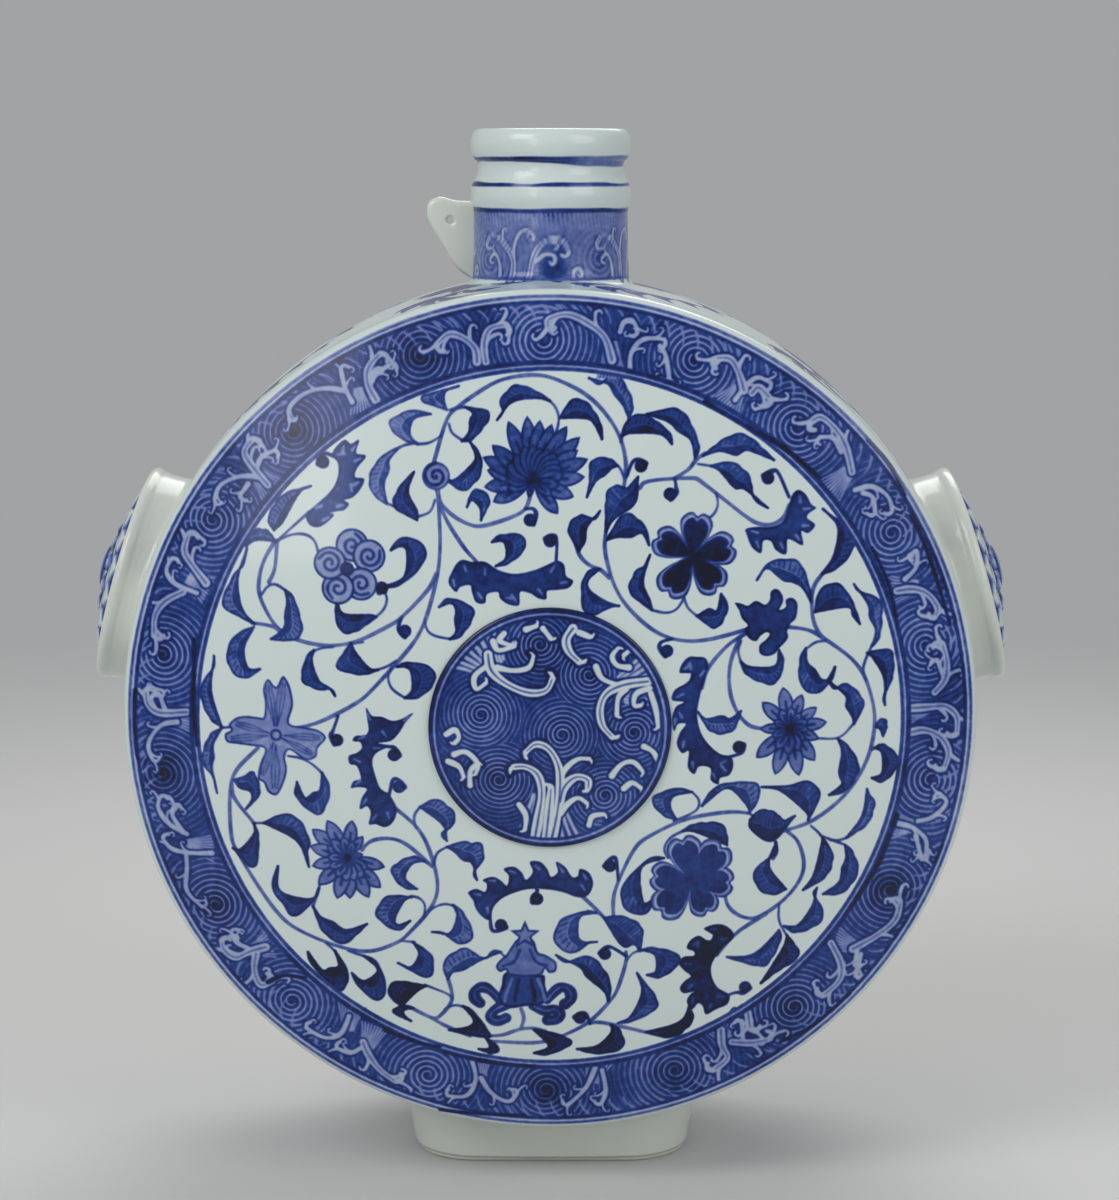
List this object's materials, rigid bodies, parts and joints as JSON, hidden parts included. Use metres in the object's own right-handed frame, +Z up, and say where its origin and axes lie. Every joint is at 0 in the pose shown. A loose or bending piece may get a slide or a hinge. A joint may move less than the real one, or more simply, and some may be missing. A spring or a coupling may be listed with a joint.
{
  "type": "pilgrim flask",
  "caption": "Round blue-and-white porcelain canteen flask with a domed painted front, flat back, short neck, pierced tab, rosette lugs on its flanks and a low foot; holds and pours a liquid.",
  "frame": {"origin": "on the table, in the middle of the foot's underside, under the neck's axis", "axes": "+Z up along the neck, -Y out of the domed painted front, +X to the right seen from the front"},
  "size_m": [0.4174, 0.1799, 0.47],
  "materials": {
    "painted_front": "clear glaze over cobalt painting",
    "painted_medallion": "clear glaze over cobalt painting",
    "painted_side": "clear glaze over cobalt painting",
    "painted_neck": "clear glaze over cobalt painting",
    "rosette_glaze": "clear glaze pooled blue in the carving",
    "white_glaze": "white glaze with a faint blue-green tone"
  },
  "bodies": {
    "root": {"front_shell": "painted_front", "medallion_boss": "painted_medallion", "side_hoop": "painted_side", "shoulder_slab": "painted_side", "back_shell": "white_glaze", "neck": "painted_neck", "stopper_tab": "white_glaze", "left_lug": "white_glaze", "right_lug": "white_glaze", "left_rosette": "rosette_glaze", "right_rosette": "rosette_glaze", "foot_ring": "white_glaze"}
  },
  "joints": []
}
